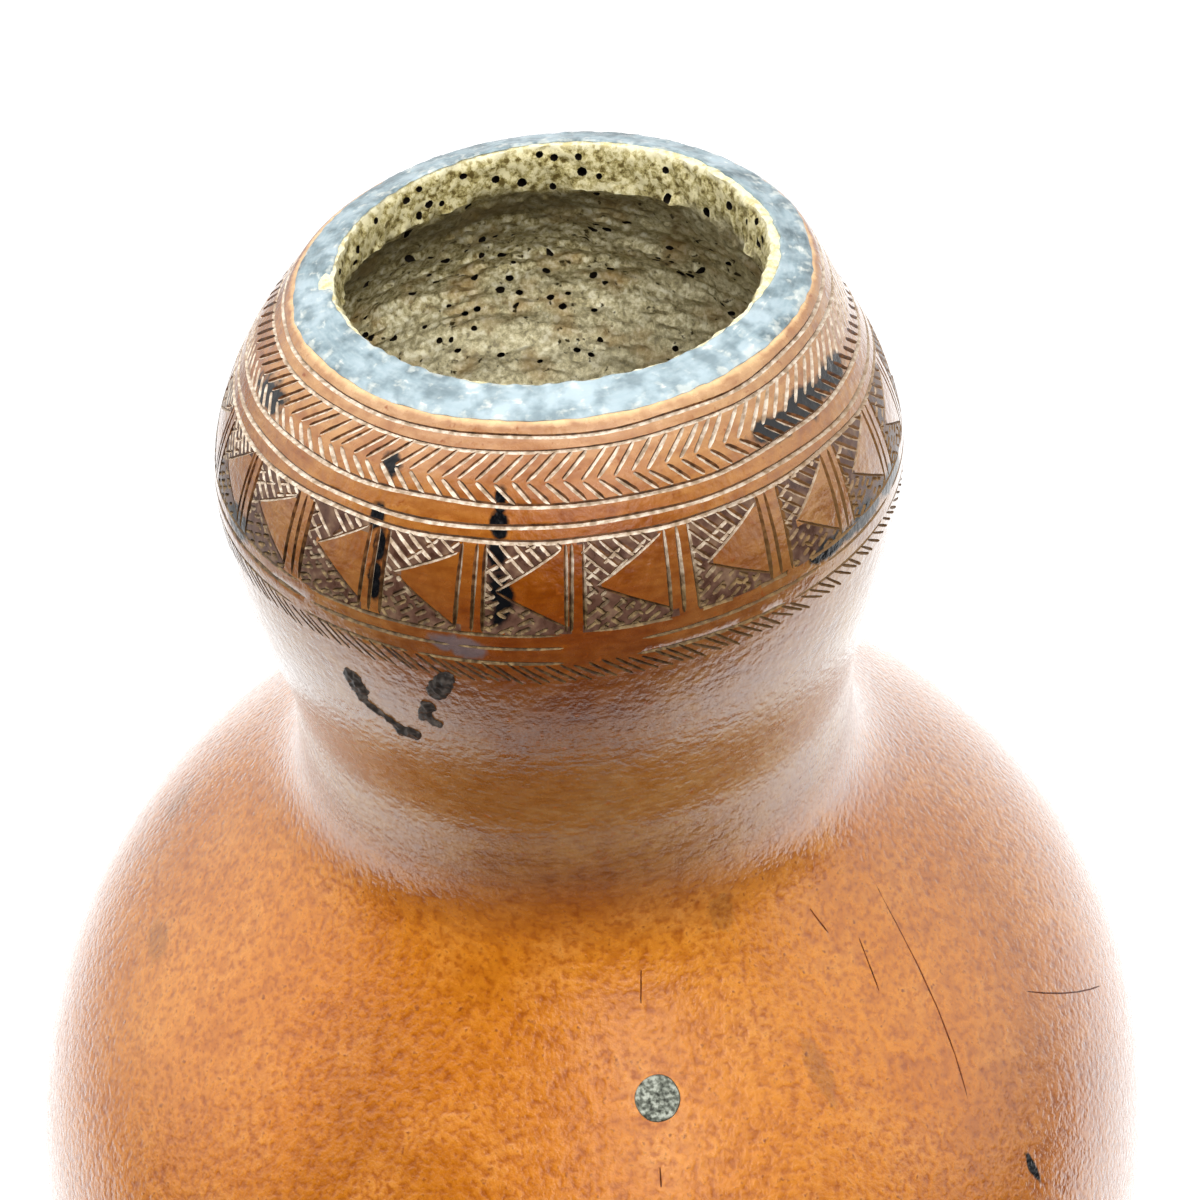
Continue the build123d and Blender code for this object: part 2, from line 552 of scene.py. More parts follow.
def uneven(spot, size, amount, seed=0.0):
    """A noise offset of a given grain size and amount."""
    return amount * noise.noise(spot / size + Vector((seed, -seed, 2 * seed)))


def plug_rim(spot):
    """Make the hole's outline a little out of round and put it in its place."""
    wobble = 1 + uneven(Vector((spot.x, spot.y, 0)), 3 * mm, 0.06)
    return plug_frame @ Vector((spot.x * wobble, spot.y * wobble, spot.z))


hole = rod("hole cutter", plug_radius + 0.08 * mm, 20 * mm, 40)
shaped(hole, plug_rim)
# The hole's wall takes the dark cut finish, painted shade.
carve(rind, hole, (2,))
print("hole at", [round(v / mm, 1) for v in plug_spot])

# %% [markdown]
# The plug starts as a cylinder that reaches through the rind into the pith. Its flat face has no points
# to shape, so it is inset again and again into rings. The rings are then raised into a low, rough dome
# with its edge just below the rind.

# %% Make the plug
def plug_face(spot):
    """Dome the plug and roughen its face."""
    share = spot.xy.length / plug_radius
    dome = (0.35 * (1 - share ** 2) - 0.28) * mm
    dome += uneven(spot, 0.7 * mm, 0.22 * mm)
    dome += uneven(spot, 2 * mm, 0.2 * mm)
    return plug_rim(spot + Vector((0, 0, dome)) if spot.z > -0.1 * mm else spot)


plug_length = 5 * mm
plug_rings = 11
plug = rod("plug", plug_radius, plug_length, 40)
shaped(plug, lambda spot: spot - Vector((0, 0, plug_length / 2)))
bpy.ops.object.mode_set(mode="EDIT")
bpy.ops.mesh.select_all(action="DESELECT")
bpy.ops.object.mode_set(mode="OBJECT")
for polygon in plug.data.polygons:
    polygon.select = polygon.normal.z > 0.9
bpy.ops.object.mode_set(mode="EDIT")
for ring in range(plug_rings):
    bpy.ops.mesh.inset(thickness=0.31 * mm)
bpy.ops.object.mode_set(mode="OBJECT")
shaped(plug, plug_face)
print("plug", len(plug.data.polygons), "faces")

# %% [markdown]
# ## The mastic dabs
# Cracks below the carved band are filled with dark mastic, pressed in and smeared by a thumb. A flat
# patch would look like a sticker, so each dab is a row of flattened beads laid on the surface along a
# stroke, given by places across and up and a radius. A voxel remesh melts the beads into one skin, and
# noise frays it. The noise gets a seed, because it would fray every run in another way without one.

# %% Press the dabs
repair_turn, repair_height = radians(-29), 271.1 * mm
dab_strokes = {
    "crack_fill_long": [
        [(-6.6, 3.6, 1.3), (-5.6, 1.6, 1.35), (-5.4, -0.6, 0.6)],
        [(-5.3, -0.9, 0.5), (0.2, -4.3, 0.45)],
        [(0.4, -5.2, 1.1), (2.6, -5.2, 1.2)],
    ],
    "crack_fill_wing": [[(6.2, 2.2, 1.0), (4.9, -0.4, 0.75)], [(5.6, -0.2, 0.7), (7.2, -1.3, 0.6)]],
    "crack_fill_border": [[(8.0, 5.9, 1.4), (9.4, 8.2, 1.2), (10.2, 9.4, 0.9)]],
}


def bead(along, up, radius):
    """One flattened bead on the surface, placed from the middle of the repair."""
    height = repair_height + up * mm
    spot, outward = on_gourd(repair_turn + along * mm / side_at(height)[0], height)
    frame_here = Matrix.Translation(spot) @ outward.to_track_quat("Z", "Y").to_matrix().to_4x4()
    bpy.ops.mesh.primitive_ico_sphere_add(subdivisions=3, radius=1.15 * radius * mm)
    shaped(bpy.context.object, lambda v: frame_here @ Vector((v.x, v.y, v.z * 0.42 / radius)))
    return bpy.context.object


def pressed(name, paths):
    """Beads along the strokes of a dab, melted into one closed skin."""
    beads = []
    for path in paths:
        for (x, y, r), (x2, y2, r2) in zip(path, path[1:]):
            steps = max(2, round(Vector((x2 - x, y2 - y)).length / 0.45))
            for i in range(steps + 1):
                s = i / steps
                beads.append(bead(x + (x2 - x) * s, y + (y2 - y) * s, vary(r + (r2 - r) * s, 0.18 * r)))
    bpy.ops.object.select_all(action="DESELECT")
    for piece in beads:
        piece.select_set(True)
    bpy.context.view_layer.objects.active = beads[0]
    bpy.ops.object.join()
    beads[0].name = name
    melt = beads[0].modifiers.new("melt", "REMESH")
    melt.mode = "VOXEL"
    melt.voxel_size = 0.14 * mm
    bpy.ops.object.modifier_apply(modifier=melt.name)
    shaped(beads[0], lambda v: v + noise.noise_vector(v / (0.9 * mm)) * 0.3 * mm)
    print(name, len(beads[0].data.polygons), "faces")
    return beads[0]


noise.seed_set(5)
dabs = {key: pressed(key.replace("crack_fill", "mastic"), paths) for key, paths in dab_strokes.items()}

# %% [markdown]
# ## The pith
# Dried flesh lines the rind. At the mouth it is trimmed to a pale, rounded collar, and below it stays
# as it dried: grainy, in ragged layers. Sculpting would do it by hand. Here the lining is turned like
# the rind, with dense rows where the mouth shows it, and noise of several sizes then roughens its open
# face, so that the crumbs are real shapes.

# %% Turn and roughen the pith
wall_depth = 8.7 * mm
pith_side = side_points(40, 84, 20, 12)
pith_back = sunk(side_points(6, 6, 9, 7), rind_depth + 0.1 * mm)
pith_face = sunk(pith_side, wall_depth)
collar = flat((35.3, 316.3), (35.1, 317.0), (34.5, 317.25), (33.8, 317.45), (33.2, 317.45))
collar += flat((32.8, 317.35), (32.6, 316.95), (32.42, 316.5), (32.36, 315.9), (32.36, 315.2))
collar += flat((32.4, 314.5), (32.45, 313.8), (32.5, 313.1), (32.55, 312.4), (32.65, 311.8))
pith_section = [Vector((0, 0, rind_depth + 0.1 * mm))] + pith_back[::-1] + collar + pith_face
pith = turned("pith", pith_section + [Vector((0, 0, wall_depth))], 384)


def on_back(spot):
    """Whether a vertex of the pith lies against the rind."""
    below_surface = side_at(min(spot.z + 0.001 * mm, 316.2 * mm))[0] - spot.xy.length
    return below_surface < 5.2 * mm and spot.z < 316 * mm


def ragged(spot):
    """Grain, lumps and sloping layers on the open face of the pith."""
    if spot.z < 200 * mm or on_back(spot):
        return spot
    way = Vector((spot.x, spot.y, 0)).normalized()
    long = Vector((spot.x, spot.y, spot.z * 2.6))
    calm = 0.35 if spot.z > 311.5 * mm else 1.0
    tilted = Vector((spot.x * 0.25, spot.y * 0.25, spot.z + 0.16 * spot.x))
    layers = uneven(tilted, 4.2 * mm, 0.5 * mm, 3.1)
    depth = uneven(long, 15 * mm, 1.5 * mm, 1.7) + uneven(long, 4.5 * mm, 0.9 * mm, 5.2) + layers
    crumbs = uneven(spot, 1.9 * mm, 0.6 * mm) + uneven(spot, 1.1 * mm, 0.45 * mm, 6.3)
    return spot + way * (depth * calm + crumbs * (0.4 + 0.6 * calm) - 0.1 * mm)


shaped(pith, ragged)
print("pith", len(pith.data.polygons), "faces")

# %% [markdown]
# ### Beetle holes
# Beetles have bored the pith, and some of their holes notch the edge of the mouth. Dark dots in the
# finish would stay flat, so each hole is cut by a small tapered peg with eight sides, pushed in at its
# own slant. All pegs are cut away in one pass, so they keep their distance.

# %% Bore the beetle holes
for finish_name in ("pith", "beetle hole"):
    pith.data.materials.append(bpy.data.materials.new(finish_name))


def inner_place(turn, height):
    """A place on the open face of the pith and the direction into the wall."""
    spot, outward = on_gourd(turn, height)
    if height > 309 * mm:
        level = Vector((spot.x, spot.y, 0)).normalized()
        return level * 32.4 * mm + Vector((0, 0, height)), level
    return spot - outward * wall_depth, outward


hole_count = 460
hole_gap = 2.0 * mm
hole_places = []
while len(hole_places) < hole_count:
    height = 316.2 * mm - 84 * mm * dice.random() ** 1.2
    place = inner_place(dice.uniform(-pi, pi), height)
    if all((place[0] - other).length > hole_gap for other, _ in hole_places):
        hole_places.append(place)


def peg(verts, faces, spot, inward):
    """Add one tapered peg to a cutter."""
    first = len(verts)
    radius = vary(0.72, 0.2) * mm
    slant = inward + Vector((vary(0, 0.35), vary(0, 0.35), vary(0, 0.35)))
    turned_in = slant.to_track_quat("Z", "Y").to_matrix()
    for depth, share in ((-1.8 * mm, 1.0), (1.2 * mm, 1.0), (3.4 * mm, 0.7)):
        for angle in (pi / 4 * k for k in range(8)):
            ring = Vector((cos(angle), 0.8 * sin(angle), 0)) * radius * share
            verts.append(spot + turned_in @ (ring + Vector((0, 0, depth))))
    for k in range(16):
        beside = k + 1 if k % 8 < 7 else k - 7
        faces.append((first + k, first + beside, first + beside + 8, first + k + 8))
    faces.append([first + k for k in reversed(range(8))])
    faces.append([first + 16 + k for k in range(8)])


verts, faces = [], []
for spot, inward in hole_places:
    peg(verts, faces, spot, inward)
carve(pith, new_piece("pegs", verts, [], faces), (1,))
print(len(hole_places), "beetle holes, pith now has", len(pith.data.polygons), "faces")

# %% [markdown]
# ## The lip
# The sawn lip carries a brushed coat of pitch. It stops short of the mouth, most of all on the right,
# and of the outer edge, where a pale rim of rind shows. A coat could be mere colour, but it has a
# thickness of its own, so its section, a low pad across the lip, is turned into a ring. The edges
# wander, because the brush did, and on the left a chip bares the pith.

# %% Coat the lip
lip_inner, lip_outer = 32.9, 39.1
lip_rows = 18


def lip_top(radius):
    """Height of the lip's top at a radius, both in millimetres; it falls outwards."""
    return 318.05 - 1.75 * (radius - 32.5) / 6.9


coat_top = []
for i in range(lip_rows + 1):
    share = i / lip_rows
    radius = lip_inner + (lip_outer - lip_inner) * share
    drop = 0.3 * max(0, 1 - share / 0.08) ** 2 + 0.35 * max(0, (share - 0.86) / 0.14) ** 2
    coat_top.append((radius, lip_top(radius) - drop))
coat_under = [(39.0, 315.7), (37.4, 315.9), (35.6, 316.3), (34.5, 316.8), (33.6, 317.1)]
coat_section = flat(*coat_top, *coat_under, coat_top[0])
coat = turned("lip_coat", coat_section, 420)
chip_turn = radians(-86)


def brushed(spot):
    """Wandering edges, a mottled top and a chip in the coat."""
    radius = spot.xy.length
    way = Vector((spot.x, spot.y, 0)) / radius
    turn = atan2(spot.x, -spot.y)
    share = (radius / mm - lip_inner) / (lip_outer - lip_inner)
    wide = uneven(way, 0.35, 0.5 * mm, 2.2) + uneven(way, 0.05, 0.24 * mm, 4.4)
    bare = (0.15 + 1.1 * max(0, cos(turn - radians(105)))) * mm
    narrow = bare + uneven(way, 0.4, 0.5 * mm, 7.7) + uneven(way, 0.05, 0.4 * mm, 9.1)
    top_share = 1 if spot.z / mm > lip_top(radius / mm) - 0.5 else 0
    bump = (uneven(spot, 2.2 * mm, 0.16 * mm) + uneven(spot, 0.8 * mm, 0.1 * mm)) * top_share
    chip = max(0, 1 - Vector(((turn - chip_turn) * 10, (share - 0.1) * 2.2)).length) * 0.9 * mm * top_share
    moved = wide * share ** 3 + narrow * (1 - share) ** 3
    return spot + way * moved + Vector((0, 0, bump - chip - 0.25 * moved))


shaped(coat, brushed)
print("coat", len(coat.data.polygons), "faces")

# %% [markdown]
# ## Growth
# No gourd is a true body of revolution. All pieces get the same slow deformation, so that they stay
# together: the sawn mouth leans forward and left, the belly swells a little to the left, the mouth is
# slightly oval, the waist is drawn in to a fold, and shallow lumps run over everything. The flat
# underside stays as it is.

# %% Grow all pieces alike
def smooth(low, high, value):
    """A soft step from zero to one between two values."""
    share = min(1, max(0, (value - low) / (high - low)))
    return share * share * (3 - 2 * share)


lean_left, lean_front = 0.033, 0.071


def grown(spot):
    """The place of a point after growth."""
    height = spot.z / mm
    turn = atan2(spot.x, -spot.y)
    lean = (lean_left * spot.x + lean_front * spot.y) * smooth(306, 316.5, height)
    near_lip = smooth(306, 316, height)
    oval = near_lip * (0.8 * cos(turn - radians(52)) ** 3 - 0.3 * cos(2 * turn)) * mm
    lumps = uneven(spot, 70 * mm, 0.9 * mm, 1.1) * smooth(0, 60, height) * (1 - near_lip)
    swell = -1.2 * mm * smooth(20, 110, height) * (1 - smooth(120, 215, height))
    fold = 1.1 * mm * smooth(185, 223, height) * (1 - smooth(224, 245, height))
    fold -= 0.5 * mm * smooth(232, 245, height) * (1 - smooth(245, 264, height))
    way = Vector((spot.x, spot.y, 0)).normalized()
    return spot + way * (oval + lumps + fold) + Vector((swell, 0, lean))


pieces = [rind, pith, coat, plug, *dabs.values()]
for piece in pieces:
    shaped(piece, grown)
    only(piece)
    bpy.ops.object.shade_smooth_by_angle(angle=radians(38))
print("grown", len(pieces), "pieces")

# %% [markdown]
# ## Finishes
# Every finish is built from noise on Object coordinates, so it follows the piece without an image. The
# nodes could be wired one by one in the shader editor. A few short helpers keep that readable here: one
# adds a node and links or sets its inputs, the others wrap the kinds used most.

# %% Helpers for finishes
def colour(code):
    """A linear colour from an sRGB hex code."""
    parts = [int(code[i:i + 2], 16) / 255 for i in (0, 2, 4)]
    return [*(p / 12.92 if p <= 0.04045 else ((p + 0.055) / 1.055) ** 2.4 for p in parts), 1]


def node(tree, kind, values, **settings):
    """Add a shader node; its inputs are set or linked."""
    made = tree.nodes.new("ShaderNode" + kind)
    for key, value in settings.items():
        setattr(made, key, value)
    for key, value in values.items():
        if isinstance(value, bpy.types.NodeSocket):
            tree.links.new(value, made.inputs[key])
        else:
            made.inputs[key].default_value = value
    return made


def mix(tree, factor, under, over, blend="MIX"):
    """Blend two colours."""
    return node(tree, "Mix", {0: factor, 6: under, 7: over}, data_type="RGBA", blend_type=blend).outputs[2]


def grain(tree, spot, scale, detail=3.0):
    """A noise pattern, given by its number of waves to the metre."""
    return node(tree, "TexNoise", {"Vector": spot, "Scale": scale, "Detail": detail}).outputs[0]


def ramp(tree, factor, *stops):
    """A colour ramp through stops of position and hex code."""
    made = node(tree, "ValToRGB", {0: factor})
    elements = made.color_ramp.elements
    while len(elements) < len(stops):
        elements.new(1)
    for element, (position, code) in zip(elements, stops):
        element.position = position
        element.color = colour(code)
    return made.outputs[0]


def mask(tree, value, low, high, start=0.0, end=1.0):
    """A value spread from a start at the low end to an end at the high end."""
    return node(tree, "MapRange", {0: value, 1: low, 2: high, 3: start, 4: end}).outputs[0]


def maths(tree, operation, a, b):
    """One step of arithmetic on patterns."""
    return node(tree, "Math", {0: a, 1: b}, operation=operation).outputs[0]


def clouded(tree, amount, under, pattern, *stops):
    """A colour darkened by a ramp over a pattern."""
    return mix(tree, amount, under, ramp(tree, pattern, *stops), "MULTIPLY")


def reach_along(tree, vector, way):
    """How far a vector reaches along a direction."""
    return node(tree, "VectorMath", {0: vector, 1: way}, operation="DOT_PRODUCT").outputs["Value"]


def finish_tree(piece, slot):
    """The node tree of a piece's finish, its surface shader and its Object coordinates."""
    material = piece.data.materials[slot]
    material.use_nodes = True
    tree = material.node_tree
    spot = node(tree, "TexCoord", {}).outputs["Object"]
    return tree, tree.nodes["Principled BSDF"], spot


def dress(tree, shader, base, rough, height, distance):
    """Link colour, roughness and bump to a surface shader."""
    tree.links.new(base, shader.inputs["Base Color"])
    tree.links.new(rough, shader.inputs["Roughness"])
    bump = node(tree, "Bump", {"Height": height, "Strength": 0.6, "Distance": distance})
    tree.links.new(bump.outputs[0], shader.inputs["Normal"])


print("finish helpers ready")

# %% [markdown]
# ### Marks on the rind
# The rind has blue-black marks, taken here for burns. Grey smudges and brown stains lie beside them.
# They could be painted on, but that needs an image. Here each mark is a soft ball of darkness with a
# ragged edge, given by turn, height, half width and half height.

# %% Marks
burns = [
    (41, 306.8, 7.0, 3.0), (50, 307.2, 8.5, 3.6), (60, 307.2, 8.5, 3.4), (44, 288.5, 7.0, 2.4),
    (54, 288.4, 9.0, 3.0), (66, 288.4, 9.0, 3.0), (-31, 308.1, 2.6, 2.0), (-31.2, 301.8, 1.9, 3.0),
    (-29.8, 298.5, 1.7, 4.0), (-30, 293.7, 1.9, 4.6), (-10.6, 303.3, 1.8, 3.2), (-10.4, 305.4, 1.5, 3.0),
    (-10.8, 299.2, 2.2, 3.4), (-10.2, 294.2, 2.7, 6.0), (-66, 307.3, 9.0, 3.0), (-63, 289.3, 7.0, 4.0),
    (48, 168.5, 1.5, 4.5),
]
smudges = [(-18.5, 286.8, 4.0, 2.0), (-15.0, 286.0, 4.0, 2.6)]
stains = [(25, 219, 4.0, 5.0), (-101, 188, 8.0, 5.0), (-76, 188, 8.0, 3.5), (30, 196, 3.0, 16.0)]


def mark_mask(tree, spot, fray, marks):
    """Where the ragged marks lie."""
    found = None
    for turn, height, half_width, half_height in marks:
        place = grown(on_gourd(radians(turn), height * mm)[0])
        values = {"Vector": spot, "Location": place, "Rotation": (0, 0, radians(turn))}
        values["Scale"] = (half_width * mm, 8 * mm, half_height * mm)
        local = node(tree, "Mapping", values, vector_type="TEXTURE").outputs[0]
        ball = node(tree, "TexGradient", {0: local}, gradient_type="SPHERICAL").outputs[1]
        found = maths(tree, "MAXIMUM", found, ball) if found else ball
    return mask(tree, maths(tree, "ADD", found, fray), 0.78, 1.0)


print(len(burns) + len(smudges) + len(stains), "marks")

# %% [markdown]
# ### Belly
# The rind has a warm orange polish, cloudy in large patches and speckled up close. One flat orange
# would look like plastic, so the colour is laid in coats: clouds, pale patches, paler hips that are
# painted sheen, a darker low belly and freckles. Hips and low belly are plain masks fitted to the photo,
# the rest is noise.

# %% Belly colour
tree, shader, spot = finish_tree(rind, 0)
cloud = grain(tree, spot, 16, 5)
patch = grain(tree, spot, 75, 5)
blotch = grain(tree, spot, 420, 4)
speck = grain(tree, spot, 850, 2)
fray = grain(tree, spot, 420, 4)
x, y, height = node(tree, "SeparateXYZ", {0: spot}).outputs
belly_colour = ramp(tree, cloud, (0.28, "b2680f"), (0.5, "cc7a18"), (0.72, "de8e2c"))
light_patch = ramp(tree, speck, (0.3, "c47420"), (0.7, "e09848"))
belly_colour = mix(tree, mask(tree, patch, 0.5, 0.8), belly_colour, light_patch)
# Paler hips: a painted sheen at the sides of the belly.
wide = mask(tree, maths(tree, "ABSOLUTE", x, 0), 0.05, 0.1)
painted_hip_sheen = maths(tree, "MULTIPLY", wide, mask(tree, height, 0.165, 0.205))
belly_colour = mix(tree, maths(tree, "MULTIPLY", painted_hip_sheen, 0.4), belly_colour, colour("e4b078"))
low_belly = maths(tree, "MULTIPLY", mask(tree, height, 0.185, 0.15), 0.35)
belly_colour = mix(tree, low_belly, belly_colour, colour("9a5408"))
freckles = (0.34, "b48456"), (0.48, "f2e8dc"), (0.6, "ffffff")
belly_colour = clouded(tree, 0.5, belly_colour, speck, *freckles)
belly_colour = clouded(tree, 0.16, belly_colour, patch, (0.34, "d0ac80"), (0.58, "ffffff"))
print("belly colour laid")

# %% [markdown]
# ### Neck
# In the photo the upper lobe is browner than the belly, greyer at the waist and paler towards the lip
# and the sides. That grey and those paler zones are painted light: the room's reflection and sheen laid
# into the colour. A ramp over the height gives the zones. The far side is a guessed warm brown. Patches
# and level streaks break the zones up, because a smooth ramp would look sprayed on.

# %% Neck colour
low_neck = mask(tree, height, 0.224, 0.29)
# The grey middle of this ramp is painted reflection at the waist.
neck_tones = (0.0, "8a4604"), (0.2, "9c6c34"), (0.4, "906c3e"), (0.75, "804c14"), (1.0, "824206")
neck_colour = ramp(tree, low_neck, *neck_tones)
high_neck = mask(tree, height, 0.29, 0.316)
# Paler towards the lip: painted sheen.
shoulder_tones = (0.0, "824206"), (0.33, "8c4a08"), (0.5, "b06c24"), (0.72, "be8856"), (0.9, "d4ac84")
shoulder = ramp(tree, high_neck, *shoulder_tones)
neck_colour = mix(tree, mask(tree, height, 0.2895, 0.2905), neck_colour, shoulder)
# Paler at the sides: painted sheen.
aside = maths(tree, "ABSOLUTE", maths(tree, "ADD", x, 0.004), 0)
aside = maths(tree, "MULTIPLY", mask(tree, aside, 0.006, 0.046), 0.58)
neck_colour = mix(tree, aside, neck_colour, colour("c89c5c"))
far_side = maths(tree, "MULTIPLY", mask(tree, y, -0.03, 0.005), 0.7)
neck_colour = mix(tree, far_side, neck_colour, colour("b4701e"))
neck_colour = clouded(tree, 0.7, neck_colour, patch, (0.3, "d0a878"), (0.65, "ffffff"))
streaks = node(tree, "Mapping", {"Vector": spot, "Scale": (1, 1, 5)}).outputs[0]
streak = grain(tree, streaks, 240, 4)
neck_colour = clouded(tree, 0.4, neck_colour, streak, (0.36, "c89c70"), (0.6, "ffffff"))
print("neck colour laid")

# %% [markdown]
# ### Polish
# Belly and neck run into each other at the waist. Over both lie mottling, dark specks, the marks and a
# pale rim beside the lip's coat. The polish itself is a clear coat over the shader. Its bump is the
# fine grain of the skin, stronger on the belly, and burnt places have lost most of the shine.

# %% Rind polish
base_colour = mix(tree, mask(tree, height, 0.216, 0.232), belly_colour, neck_colour)
mottle = (0.34, "c8a888"), (0.5, "f0ebe4"), (0.62, "ffffff")
base_colour = clouded(tree, 0.5, base_colour, blotch, *mottle)
base_colour = mix(tree, mask(tree, speck, 0.64, 0.78), base_colour, colour("8a4610"))
stain = maths(tree, "MULTIPLY", mark_mask(tree, spot, fray, stains), 0.3)
base_colour = mix(tree, stain, base_colour, colour("4a2a14"))
smudge = maths(tree, "MULTIPLY", mark_mask(tree, spot, fray, smudges), 0.6)
base_colour = mix(tree, smudge, base_colour, colour("585e66"))
burn = mark_mask(tree, spot, fray, burns)
base_colour = mix(tree, burn, base_colour, colour("0a0b0e"))
lip_square = (-lean_left, -lean_front, 1)
above_lip = reach_along(tree, spot, lip_square)
rim = mask(tree, maths(tree, "ADD", above_lip, maths(tree, "MULTIPLY", fray, 0.0008)), 0.3160, 0.3165)
base_colour = mix(tree, rim, base_colour, colour("f4cc94"))
relief = maths(tree, "ADD", maths(tree, "MULTIPLY", patch, 0.4), maths(tree, "MULTIPLY", streak, 0.14))
fine = maths(tree, "ADD", maths(tree, "MULTIPLY", blotch, 0.4), maths(tree, "MULTIPLY", speck, 0.8))
leather = mask(tree, height, 0.2, 0.235, 1.7, 1.0)
relief = maths(tree, "ADD", relief, maths(tree, "MULTIPLY", fine, leather))
dress(tree, shader, base_colour, ramp(tree, patch, (0.3, "606060"), (0.7, "808080")), relief, 0.3 * mm)
tree.links.new(shader.inputs["Normal"].links[0].from_socket, shader.inputs["Coat Normal"])
gloss = mask(tree, blotch, 0.3, 0.7, 0.18, 0.32)
tree.links.new(gloss, shader.inputs["Coat Roughness"])
polish = maths(tree, "SUBTRACT", 1.0, maths(tree, "MULTIPLY", burn, 0.75))
tree.links.new(polish, shader.inputs["Coat Weight"])
shader.inputs["Coat IOR"].default_value = 1.6
print("rind polish done")

# %% [markdown]
# ### Cuts
# The clean wall of a cut shows cream flesh near the lip and gets duller down the lobe, as in the photo.
# To the right, below the lip, painted shade dims it. The dark wall is painted shade, a brown. One loop
# makes both, with a bright and a dull ramp each, and blends the two by height.

# %% Cut finishes
cut_tones = {
    1: [("a48c72", "c6b098", "e4d6c2"), ("4c3a26", "6c563a", "8e7652")],
    # Slot 2: the wall in painted shade.
    2: [("3c200c", "5a3416", "7a4e28"), ("2a180c", "412c16", "5c4428")],
}
for slot, (bright, dull) in cut_tones.items():
    tree, shader, spot = finish_tree(rind, slot)
    x, _, height = node(tree, "SeparateXYZ", {0: spot}).outputs
    dust = grain(tree, spot, 1000, 3)
    fresh = ramp(tree, dust, *zip((0.36, 0.48, 0.6), bright))
    worn = ramp(tree, dust, *zip((0.36, 0.5, 0.64), dull))
    base_colour = mix(tree, mask(tree, height, 0.292, 0.299), worn, fresh)
    # Painted shade: cuts on the right, below the lip, are dimmed to brown.
    shade = maths(tree, "MULTIPLY", mask(tree, x, 0.012, 0.04), mask(tree, height, 0.307, 0.302))
    shade = maths(tree, "MULTIPLY", shade, 0.5)
    base_colour = mix(tree, shade, base_colour, colour("8a6438"))
    dress(tree, shader, base_colour, ramp(tree, dust, (0.3, "a0a0a0"), (0.7, "d0d0d0")), dust, 0.2 * mm)
print("cut walls finished")

# %% [markdown]
# The ground between the hatching has lost its polish: it is a dull brown, and the burns have blackened
# it too, so it reads the same list of marks. The scratches on the belly are filled with reddish dirt.

# %% Scored ground and scratches
tree, shader, spot = finish_tree(rind, 3)
dirt = grain(tree, spot, 500, 3)
fray = grain(tree, spot, 420, 4)
base_colour = ramp(tree, dirt, (0.3, "3e261c"), (0.52, "5c4033"), (0.72, "80654e"))
base_colour = mix(tree, mark_mask(tree, spot, fray, burns), base_colour, colour("0c0c0e"))
dress(tree, shader, base_colour, ramp(tree, dirt, (0.3, "808080"), (0.7, "b0b0b0")), dirt, 0.15 * mm)

tree, shader, spot = finish_tree(rind, 4)
dirt = grain(tree, spot, 500, 3)
base_colour = ramp(tree, dirt, (0.35, "4a210c"), (0.6, "7a3c14"))
dress(tree, shader, base_colour, ramp(tree, dirt, (0.3, "808080"), (0.7, "b0b0b0")), dirt, 0.1 * mm)
print("scored ground and scratches finished")

# %% [markdown]
# ### Pith
# Dried pith is a mass of crumbs. Noise alone would look like cloud, so the cells of a Voronoi pattern
# are added to it: they give each crumb its own tone from cream to olive. Brown patches and pits lie over
# that. The right wall and the deep part are paler by painted light, and the recess under the collar is
# darkened by painted shade. The collar itself is cream, nearly white at its edge.

# %% Pith finish
tree, shader, spot = finish_tree(pith, 0)
patch = grain(tree, spot, 130, 5)
crumb = node(tree, "TexNoise", {"Vector": spot, "Scale": 800, "Detail": 6.0, "Roughness": 0.7}).outputs[0]
cells_near = node(tree, "TexVoronoi", {"Vector": spot, "Scale": 1000})
tone = node(tree, "SeparateColor", {0: cells_near.outputs["Color"]}).outputs[0]
tone = maths(tree, "ADD", crumb, maths(tree, "MULTIPLY", maths(tree, "SUBTRACT", tone, 0.5), 0.14))
base_colour = ramp(tree, tone, (0.34, "5e5026"), (0.44, "aa9e70"), (0.54, "d6cca2"), (0.64, "f6f0d4"))
x, _, height = node(tree, "SeparateXYZ", {0: spot}).outputs
# Painted light: the right wall and the deep part are made paler.
painted_pith_light = maths(tree, "MAXIMUM", mask(tree, x, 0.0, 0.04), mask(tree, height, 0.294, 0.272))
base_colour = mix(tree, maths(tree, "MULTIPLY", painted_pith_light, 0.3), base_colour, colour("f4ecce"))
brown = maths(tree, "MULTIPLY", mask(tree, patch, 0.5, 0.72), 0.75)
base_colour = mix(tree, brown, base_colour, colour("a4824a"))
pits = mask(tree, grain(tree, spot, 620, 3), 0.64, 0.7)
base_colour = mix(tree, pits, base_colour, colour("3a3018"))
above_lip = reach_along(tree, spot, lip_square)
frayed = maths(tree, "ADD", above_lip, maths(tree, "MULTIPLY", maths(tree, "SUBTRACT", patch, 0.5), 0.012))
# Painted shade: the recess under the collar, most at the back, is darkened.
painted_recess_shade = maths(tree, "MULTIPLY", mask(tree, above_lip, 0.289, 0.304), mask(tree, x, 0.034, 0.0))
base_colour = mix(tree, maths(tree, "MULTIPLY", painted_recess_shade, 0.74), base_colour, colour("4a3e1b"))
collar_colour = ramp(tree, tone, (0.36, "66562a"), (0.46, "b8aa6e"), (0.58, "ece2b4"))
base_colour = mix(tree, mask(tree, frayed, 0.308, 0.3115), base_colour, collar_colour)
edge_colour = ramp(tree, tone, (0.4, "d8ca94"), (0.52, "f6efcc"))
base_colour = mix(tree, mask(tree, above_lip, 0.3165, 0.3174), base_colour, edge_colour)
rough = ramp(tree, tone, (0.3, "c0c0c0"), (0.7, "f0f0f0"))
dress(tree, shader, base_colour, rough, tone, 0.6 * mm)
